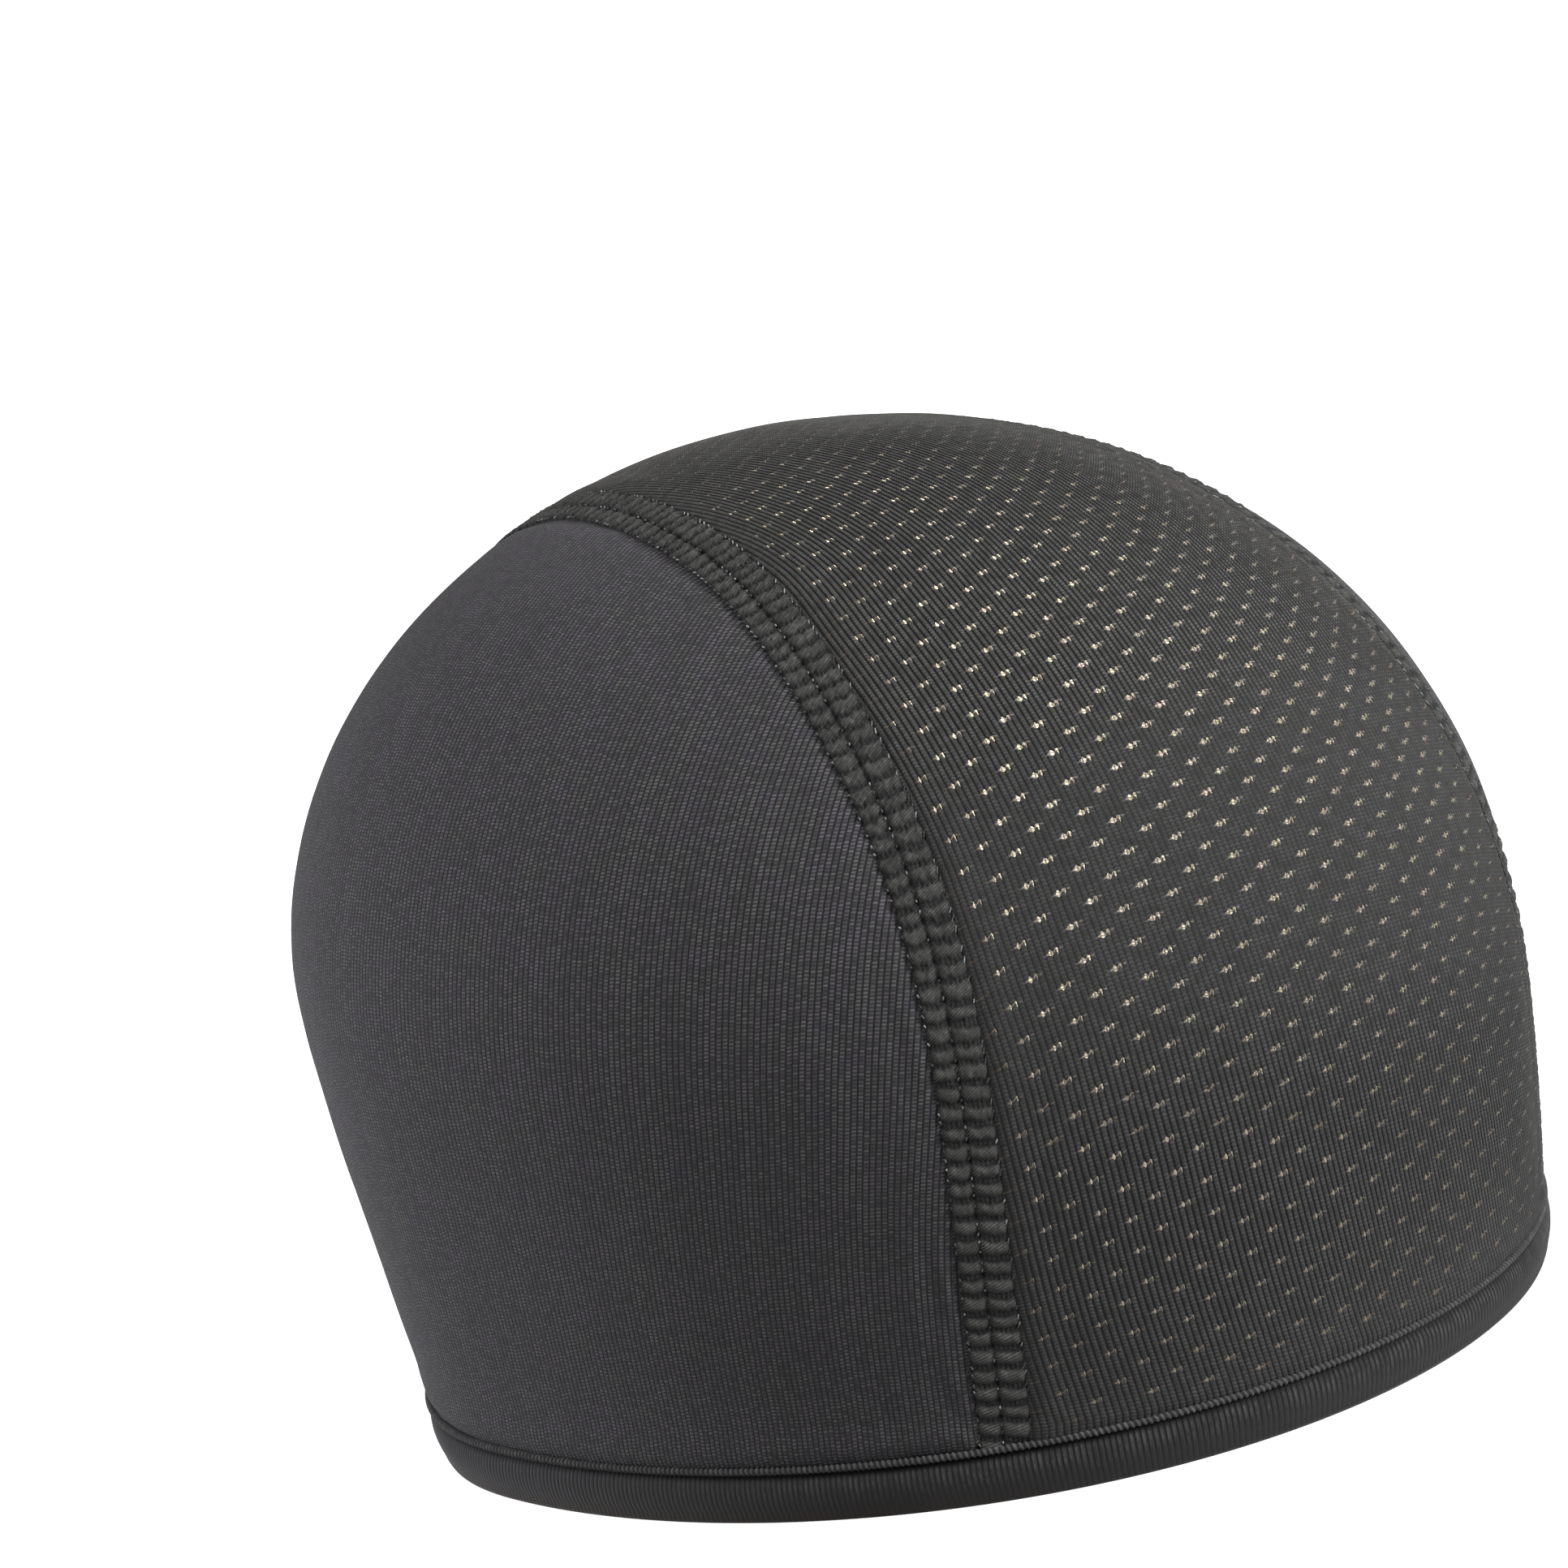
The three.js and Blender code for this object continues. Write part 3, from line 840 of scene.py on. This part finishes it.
def side_panel(name, mirror):
    """A thin closed sheet of smooth cloth between the seam and the hem."""
    columns, rows = 150, 76
    level = HEM_HEIGHT - 0.8
    over = np.linspace(0, 1, columns)
    top = beside_seam(over, SEAM_WIDTH / 2 - TUCK_UNDER_SEAM)
    top_turn = np.arctan2(top[:, 1], top[:, 0])
    least = top_turn[0] + FOOT_SPREAD * over
    most = top_turn[-1] - FOOT_SPREAD * (1 - over)
    foot_turn = np.maximum(least, np.minimum(most, top_turn))
    heading = np.stack([np.cos(foot_turn), np.sin(foot_turn), np.zeros_like(foot_turn)], -1)
    foot = surface_along(np.array([0.0, 0.0, level]), heading)
    low = np.arctan2(level - FAN_Z, np.hypot(foot[:, 0], foot[:, 1]))
    high = np.arctan2(top[:, 2] - FAN_Z, np.hypot(top[:, 0], top[:, 1]))
    share = np.linspace(0, 1, rows)
    share = share - 0.06 * np.sin(2 * math.pi * share) / (2 * math.pi)
    climb = low[:, None] + (high - low)[:, None] * share
    turn = foot_turn[:, None] + (top_turn - foot_turn)[:, None] * share
    ray = np.stack([np.cos(climb) * np.cos(turn), np.cos(climb) * np.sin(turn), np.sin(climb)], -1)
    base = surface_along(FAN, ray)
    normal = normal_at(base)
    rise = np.stack([running_length(line) for line in base])
    edge = beside_seam(np.linspace(0, 1, 400), SEAM_WIDTH / 2 - TUCK_UNDER_SEAM)
    gaps = [np.linalg.norm(line[:, None, :] - edge[None, :, :], axis=-1) for line in base]
    to_seam = np.stack([gap.min(1) for gap in gaps])
    to_hem = base[..., 2] - level
    height = 0.40 * np.exp(-(((to_hem - 3.4) / 2.4) ** 2)) - 0.9 * np.exp(-((to_hem / 1.1) ** 2))
    height = height + 0.08 * np.exp(-(((to_seam - TUCK_UNDER_SEAM - 2.0) / 1.8) ** 2))
    height = height - 1.1 * np.exp(-((to_seam / 1.6) ** 2))
    height = height + 0.15 * smooth_noise(height.shape, (22, 10), 5)
    outer = base + normal * height[..., None]
    inner = base + normal * (np.minimum(height, 0) - SIDE_THICKNESS)[..., None]
    ring = np.concatenate([outer, inner[:, ::-1]], 1)
    count = ring.shape[1]
    points = ring.reshape(-1, 3)
    faces = grid_faces(columns, count, close_columns=True)
    faces = faces[:, [0, 3, 2, 1]]
    ends = []
    for start, flip in ((0, True), ((columns - 1) * count, False)):
        for k in range(rows - 1):
            quad = [start + k, start + k + 1, start + count - 2 - k, start + count - 1 - k]
            ends.append(quad[::-1] if flip else quad)
    faces = np.concatenate([faces, np.array(ends)])
    flat_base = np.concatenate([base, base[:, ::-1]], 1).reshape(-1, 3)
    course = np.concatenate([rise, rise[:, ::-1]], 1).reshape(-1) / COURSE_PITCH
    uv = np.stack([knit_columns(flat_base), course], -1)
    return make_piece(name, points, faces, uv, SMOOTH, mirror=mirror)


# Seams


def seam_grid():
    """The seam's points and normals before its relief, and how far each lies ahead of its middle line."""
    along_count, across_count = 1350, 41
    samples = np.linspace(0, 1, 901)
    line = beside_seam(samples, 0.0)
    length = running_length(line)
    over = np.interp(np.linspace(0, length[-1], along_count), length, samples)
    across = np.linspace(-1, 1, across_count)
    base = beside_seam(over[:, None], across[None, :] * SEAM_WIDTH / 2)
    centre = base[:, across_count // 2]
    run = unit(np.gradient(centre, axis=0))
    ahead = ((base - centre[:, None, :]) * run[:, None, :]).sum(-1)
    return over, across, np.interp(over, samples, length), base, normal_at(base), ahead


# Length of one raised stitch, and where the needle line lies between the seam's borders at -1 and 1
BRICK_PITCH = 2.62
NEEDLE_LINE = 0.12


def bump(value, centre, half_width):
    """A dome from 0 to 1 about a centre."""
    return np.sqrt(np.clip(1 - ((value - centre) / half_width) ** 2, 0, 1))


def seam_strip(name, grid, mirror):
    """Two rows of raised stitches. They are fuzzier with slanting strands past the front."""
    over, across, place, base, normal, ahead = grid
    side = 0 if mirror else 1
    local = np.random.default_rng(21 + side)
    inner_row = across < NEEDLE_LINE
    row_centre = np.where(inner_row, (NEEDLE_LINE - 1) / 2, (NEEDLE_LINE + 1) / 2)
    row_half = np.where(inner_row, (NEEDLE_LINE + 1) / 2, (1 - NEEDLE_LINE) / 2)
    in_row = (across - row_centre) / row_half
    sag = -0.10 * across + 0.44 * (1 - in_row**2)
    fuzzy = np.clip((over - 0.12) / 0.16, 0, 1)[:, None]
    wander = 0.24 * smooth_noise((len(place), 1), (90, 1), 51 + side)
    ragged = (0.14 + 0.12 * fuzzy) * smooth_noise((len(place), len(across)), (420, 9), 53 + side)
    lean = place[:, None] + ahead + sag[None, :] + wander + ragged + 4.0
    number = np.floor(lean / BRICK_PITCH).astype(int)
    part = lean / BRICK_PITCH - number
    row = np.broadcast_to(inner_row.astype(int)[None, :], number.shape)
    knock = local.uniform(-1, 1, (number.max() + 2, 2))[number, row]
    brick = bump(part, 0.63 + 0.03 * knock, 0.325 + 0.03 * knock + 0.05 * fuzzy)
    brick = brick * np.sqrt(1 - 0.94 * np.abs(in_row) ** 2.6)[None, :]
    tick = 0.5 + 0.5 * np.cos(2 * math.pi * across * SEAM_WIDTH / 2 / 0.62)[None, :]
    gap = bump(part, 0.14, 0.20) * tick * (np.abs(in_row) < 0.85)[None, :]
    line = np.exp(-(((across - NEEDLE_LINE) / 0.09) ** 2))
    line = line + np.exp(-(((np.abs(across) - 0.96) / 0.08) ** 2))
    pit = np.exp(-(((part - 0.16) / 0.13) ** 2)) * line[None, :]
    grain = smooth_noise(number.shape, (700, 20), 31 + side)
    slanted = place[:, None] + ahead + 0.75 * across[None, :] * SEAM_WIDTH / 2
    strand = np.cos(2 * math.pi * slanted / 0.95 + 2.4 * smooth_noise(number.shape, (300, 7), 61 + side))
    height = -0.04 + 0.50 * brick * (1 - 0.15 * fuzzy) + 0.13 * gap
    height = height - 0.10 * line[None, :] - 0.26 * pit + 0.05 * fuzzy * strand
    height = height + (0.05 + 0.05 * fuzzy) * grain
    height = height - 0.35 * np.clip((np.abs(across) - 0.9) / 0.1, 0, 1)[None, :] ** 2
    outer = base + normal * height[..., None]
    inner = base[:, [-1, 0]] - normal[:, [-1, 0]] * SEAM_WALL
    ring = np.concatenate([outer, inner], 1)
    rows, columns = ring.shape[:2]
    faces = grid_faces(rows, columns, close_columns=True)[:, [0, 3, 2, 1]]
    # Painted light on the raised bricks and the ticks between them, painted shade in the pits and along the
    # needle lines; this becomes the shade attribute
    lit = 0.09 + 0.02 * fuzzy + (0.98 - 0.28 * fuzzy) * brick**1.1 * (0.84 + 0.16 * knock)
    lit = (lit + (0.36 - 0.18 * fuzzy) * gap) * (1 - 0.75 * pit) * (1 - 0.35 * line[None, :])
    lit = lit + fuzzy * (0.12 * grain + 0.16 * strand) * (0.3 + 0.7 * brick)
    lit = np.clip(lit, 0, 1)
    shade = np.concatenate([lit, np.zeros((rows, 2))], 1)
    u = np.concatenate([across * SEAM_WIDTH / 2, [SEAM_WIDTH / 2, -SEAM_WIDTH / 2]])
    uv = paired(u[None, :], place[:, None], (rows, columns))
    ring = ring.reshape(-1, 3)
    return make_piece(name, ring, faces, uv, SEAM, shade=shade.ravel(), mirror=mirror)


def capsule_points(sides=6):
    """A short round-ended thread along its own x, of length 2 and radius 1."""
    rings = [(-1.0, 0.0), (-0.9, 0.6), (-0.6, 1.0), (0.6, 1.0), (0.9, 0.6), (1.0, 0.0)]
    angles = np.arange(sides) * 2 * math.pi / sides
    points = [(t, r * math.cos(angle), r * math.sin(angle)) for t, r in rings for angle in angles]
    return np.array(points), grid_faces(len(rings), sides, close_columns=True)


def thread_pieces(name, middles, directions, outs, lengths, radii, mirror=False):
    """Many short threads in one piece."""
    shape, faces = capsule_points()
    side = unit(np.cross(outs, directions))
    points = (
        middles[:, None, :]
        + shape[None, :, 0:1] * (lengths[:, None, None] / 2) * directions[:, None, :]
        + shape[None, :, 1:2] * radii[:, None, None] * side[:, None, :]
        + shape[None, :, 2:3] * radii[:, None, None] * outs[:, None, :]
    )
    offsets = (np.arange(len(middles)) * len(shape))[:, None, None]
    all_faces = (faces[None, :, :] + offsets).reshape(-1, 4)
    uv = np.stack([np.zeros(points.shape[:2]), shape[None, :, 0] * lengths[:, None] / 2], -1)
    return make_piece(name, points.reshape(-1, 3), all_faces, uv.reshape(-1, 2), STITCH, mirror=mirror)


def seam_stitches(name, grid, mirror):
    """Short threads along the seam's borders and its needle line."""
    over, place = grid[0], grid[2]
    local = np.random.default_rng(41 if mirror else 42)
    total = place[-1]
    middles, directions, outs, lengths, radii = [], [], [], [], []
    for line, slant, long, thick, chance in (
        (-0.95, 0.45, 1.05, 0.11, 0.75),
        (NEEDLE_LINE, 0.25, 0.55, 0.13, 0.65),
        (0.96, -0.35, 0.60, 0.13, 0.70),
    ):
        at = np.arange(0.8, total - 0.8, BRICK_PITCH / 2)
        at = at[local.uniform(0, 1, len(at)) < chance]
        at = at + local.uniform(-0.2, 0.2, len(at))
        here = np.interp(at, place, over)
        p = beside_seam(here, line * SEAM_WIDTH / 2)
        ahead = beside_seam(np.clip(here + 0.002, 0, 1), line * SEAM_WIDTH / 2)
        n = normal_at(p)
        along = unit(ahead - p)
        side = unit(np.cross(n, along))
        lean = slant + local.uniform(-0.25, 0.25, len(at))
        directions.append(unit(along + side * lean[:, None]))
        outs.append(n)
        middles.append(p + n * local.uniform(0.05, 0.16, len(at))[:, None])
        lengths.append(long * local.uniform(0.6, 1.1, len(at)))
        radii.append(thick * local.uniform(0.8, 1.1, len(at)))
    parts = [np.concatenate(v) for v in (middles, directions, outs, lengths, radii)]
    return thread_pieces(name, *parts, mirror=mirror)


# Hem band


HEM_RIB_PITCH = 0.80
CORD_TWIST = 0.80

# The hem's outline from its top round its foot to its inner side: share of its height, and how far out
HEM_SECTION = [
    (0.985, -0.9),
    (0.95, -0.45),
    (0.90, 0.00),
    (0.84, 0.42),
    (0.76, 0.74),
    (0.66, 0.98),
    (0.54, 1.10),
    (0.42, 1.10),
    (0.30, 0.98),
    (0.20, 0.76),
    (0.11, 0.76),
    (0.04, 0.62),
    (0.00, 0.25),
    (0.00, -1.20),
    (0.10, -HEM_WALL),
    (0.98, -HEM_WALL),
]


def hem_line(z, out, turn):
    """Points round the cap at a height, moved out level from its surface, and the outward directions."""
    level = np.stack([np.cos(turn), np.sin(turn), np.zeros_like(turn)], -1)
    p = surface_along(np.array([0.0, 0.0, z]), level)
    outward = normal_at(p)
    outward[..., 2] = 0
    return p + unit(outward) * np.reshape(out, (-1, 1)), unit(outward)


def hem_turns():
    """Turns round the cap, and the length along the hem's foot to each."""
    turn = np.linspace(-math.pi, math.pi, 2401)
    length = running_length(hem_line(0.0, 0.0, turn)[0])
    return turn, length


def hem_band():
    """The turned hem: one closed ring, with a low ridge for each rib."""
    turn, length = hem_turns()
    ribs = int(round(length[-1] / HEM_RIB_PITCH))
    around = np.interp(np.linspace(0, length[-1], 2 * ribs + 1)[:-1], length, turn)
    peak = (np.arange(2 * ribs) % 2).astype(float)
    rings = []
    for z, out in HEM_SECTION:
        ridge = 0.05 + 0.13 * z if 0.05 < z < 0.95 and out > 0.2 else 0.0
        rings.append(hem_line(z * HEM_HEIGHT, out + ridge * (peak - 0.6), around)[0])
    points = np.stack(rings, 1)
    rows, columns = points.shape[:2]
    faces = grid_faces(rows, columns, close_rows=True, close_columns=True)
    rib = np.arange(2 * ribs) / 2.0
    rise = np.array([z for z, out in HEM_SECTION]) * HEM_HEIGHT
    uv = paired(rib[:, None], rise[None, :], (rows, columns))
    valley = np.broadcast_to((peak == 0)[:, None], (rows, columns))
    return make_piece("hem_rib_band", points.reshape(-1, 3), faces, uv, HEM, sharp=valley.ravel())


def hem_cord():
    """The corded stitch line along the hem's top edge, twisted like rope."""
    turn, length = hem_turns()
    twists = int(round(length[-1] / CORD_TWIST))
    per_twist, sides = 6, 10
    count = twists * per_twist
    around = np.interp(np.arange(count) / count * length[-1], length, turn)
    line, out = hem_line(HEM_HEIGHT + 0.15, 0.30, around)
    up = np.array([0.0, 0.0, 1.0])
    angle = np.arange(sides) * 2 * math.pi / sides
    phase = 2 * math.pi * np.arange(count)[:, None] / per_twist
    strand = np.cos(phase + angle[None, :])
    radius = 0.50 * (1 + 0.22 * strand)
    points = (
        line[:, None, :]
        + radius[..., None] * np.cos(angle)[None, :, None] * out[:, None, :]
        + radius[..., None] * 0.9 * np.sin(angle)[None, :, None] * up
    )
    faces = grid_faces(count, sides, close_rows=True, close_columns=True)
    place = np.arange(count) / count * length[-1]
    uv = paired(angle[None, :], place[:, None], (count, sides))
    # Painted light on each strand's crest and painted shade between strands
    shade = 0.5 + 0.5 * strand
    return make_piece("hem_cord", points.reshape(-1, 3), faces, uv, CORD, shade=shade.ravel())


panel = mesh_panel()
side_left = side_panel("smooth_panel_left", False)
side_right = side_panel("smooth_panel_right", True)
grid = seam_grid()
strip_left = seam_strip("flat_seam_left", grid, False)
strip_right = seam_strip("flat_seam_right", grid, True)
stitch_left = seam_stitches("seam_stitches_left", grid, False)
stitch_right = seam_stitches("seam_stitches_right", grid, True)
band = hem_band()
cord = hem_cord()

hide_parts("mesh_panel")
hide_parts("side_panel_left")
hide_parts("side_panel_right")
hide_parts("seam_left")
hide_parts("seam_right")
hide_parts("hem_band")
for piece, slot in (
    (panel, "mesh_knit"),
    (side_left, "smooth_knit"),
    (side_right, "smooth_knit"),
    (strip_left, "seam_thread"),
    (strip_right, "seam_thread"),
    (stitch_left, "seam_thread"),
    (stitch_right, "seam_thread"),
    (band, "hem_rib"),
    (cord, "seam_thread"),
):
    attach(piece, "root")


# Floor, light and camera

FLOOR_REACH_M = 60.0
FLOOR_GLOW = 0.80
FLOOR_COLOUR = (0.80, 0.80, 0.80, 1)
GLOW_EDGE_INSIDE_HEM = 0.9
WORLD_BELOW, WORLD_ABOVE = 0.02, 0.04


def pale_floor():
    """A matt pale floor that glows all round the cap, and not at all within its hem."""
    n = Nodes("pale_floor")
    x, y = n.split(n.place())[:2]
    front, back, side = (float(reach) - GLOW_EDGE_INSIDE_HEM for reach in section(np.array(0.0)))
    from_middle = n.math("SUBTRACT", y, WIDEST_Y * MM)
    ahead = n.times(from_middle, -1 / (front * MM))
    behind = n.times(from_middle, 1 / (back * MM))
    along = n.math("MAXIMUM", ahead, behind)
    across = n.times(x, 1 / (side * MM))
    reach = n.scaled(across, across, n.times(along, along))
    glow = n.times(n.math("GREATER_THAN", reach, 1.0), FLOOR_GLOW)
    return n.principled({
        "Base Color": FLOOR_COLOUR,
        "Roughness": 0.9,
        "Specular IOR Level": 0.1,
        "Emission Color": (1, 1, 1, 1),
        "Emission Strength": glow,
    })


corners = [(x * FLOOR_REACH_M, y * FLOOR_REACH_M, 0) for x, y in ((-1, -1), (1, -1), (1, 1), (-1, 1))]
floor_mesh = bpy.data.meshes.new("floor")
floor_mesh.from_pydata(corners, [], [(0, 1, 2, 3)])
floor_mesh.materials.append(pale_floor())
floor = bpy.data.objects.new("floor", floor_mesh)
floor.visible_diffuse = False
bpy.context.scene.collection.objects.link(floor)

scene = bpy.context.scene
scene.view_settings.view_transform = "Standard"


def studio_world():
    """A pale room, brighter overhead than below."""
    world = bpy.data.worlds.new("studio")
    world.use_nodes = True
    tree = world.node_tree
    where = tree.nodes.new("ShaderNodeTexCoord").outputs["Generated"]
    split = tree.nodes.new("ShaderNodeSeparateXYZ")
    tree.links.new(where, split.inputs[0])
    rise = tree.nodes.new("ShaderNodeMapRange")
    rise.interpolation_type = "SMOOTHSTEP"
    rise.inputs["From Min"].default_value = -0.5
    rise.inputs["From Max"].default_value = 0.6
    rise.inputs["To Min"].default_value = WORLD_BELOW
    rise.inputs["To Max"].default_value = WORLD_ABOVE
    tree.links.new(split.outputs[2], rise.inputs["Value"])
    tree.links.new(rise.outputs["Result"], tree.nodes["Background"].inputs["Strength"])
    tree.nodes["Background"].inputs["Color"].default_value = (1, 1, 1, 1)
    return world


scene.world = studio_world()


def sun(name, azimuth, elevation, strength, angle, colour):
    """A soft light from one direction: azimuth from the forehead towards +X, and elevation, in degrees."""
    data = bpy.data.lights.new(name, "SUN")
    data.energy = strength
    data.angle = math.radians(angle)
    data.color = colour
    light = bpy.data.objects.new(name, data)
    a, e = math.radians(azimuth), math.radians(elevation)
    toward = Vector((math.sin(a) * math.cos(e), -math.cos(a) * math.cos(e), math.sin(e)))
    light.rotation_euler = toward.to_track_quat("Z", "Y").to_euler()
    bpy.context.scene.collection.objects.link(light)


sun("front_softbox", 32, 21, 4.6, 28, (1.0, 1.0, 0.97))
sun("top_softbox", -66, 60, 1.8, 30, (1.0, 0.985, 0.94))
sun("back_softbox", -149, 6, 2.2, 30, (0.98, 0.97, 1.0))

# A warm lamp inside the cap lights its far wall, so that the eyelets show as open holes
LAMP_PLACE = Vector((10, 48, 72))
LAMP_RADIUS = 30
lamp_data = bpy.data.lights.new("inside_glow", "POINT")
lamp_data.energy = 2.7
lamp_data.color = (1.0, 0.90, 0.62)
lamp_data.shadow_soft_size = LAMP_RADIUS * MM
lamp = bpy.data.objects.new("inside_glow", lamp_data)
lamp.location = LAMP_PLACE * MM
lamp.visible_camera = False
scene.collection.objects.link(lamp)
lit_inside = bpy.data.collections.new("lit_from_inside")
for piece in (panel, side_left, side_right, strip_left, strip_right, band):
    lit_inside.objects.link(piece)
lamp.light_linking.receiver_collection = lit_inside

# Camera, fitted to the outline, the hem line and the seams
AZIMUTH, ELEVATION, ROLL = -34.375, 11.05, 12.64
DISTANCE = 720.0
SIDE_SHIFT, TARGET_Z = -12.57, 81.3
FOCAL_PIXELS, PICTURE = 6112.0, 1932
SENSOR_WIDTH = 36.0

a, e, r = (math.radians(v) for v in (AZIMUTH, ELEVATION, ROLL))
back = Vector((math.sin(a) * math.cos(e), -math.cos(a) * math.cos(e), math.sin(e)))
right = Vector((math.cos(a), math.sin(a), 0))
up = back.cross(right)
right_rolled = right * math.cos(r) - up * math.sin(r)
up_rolled = right * math.sin(r) + up * math.cos(r)
camera_place = right_rolled * SIDE_SHIFT + Vector((0, 0, TARGET_Z)) + back * DISTANCE
camera_data = bpy.data.cameras.new("camera")
camera_data.sensor_width = SENSOR_WIDTH
camera_data.lens = FOCAL_PIXELS / PICTURE * SENSOR_WIDTH
camera = bpy.data.objects.new("camera", camera_data)
facing = Matrix((right_rolled, up_rolled, back)).transposed().to_4x4()
camera.matrix_world = Matrix.Translation(camera_place * MM) @ facing
scene.collection.objects.link(camera)
scene.camera = camera
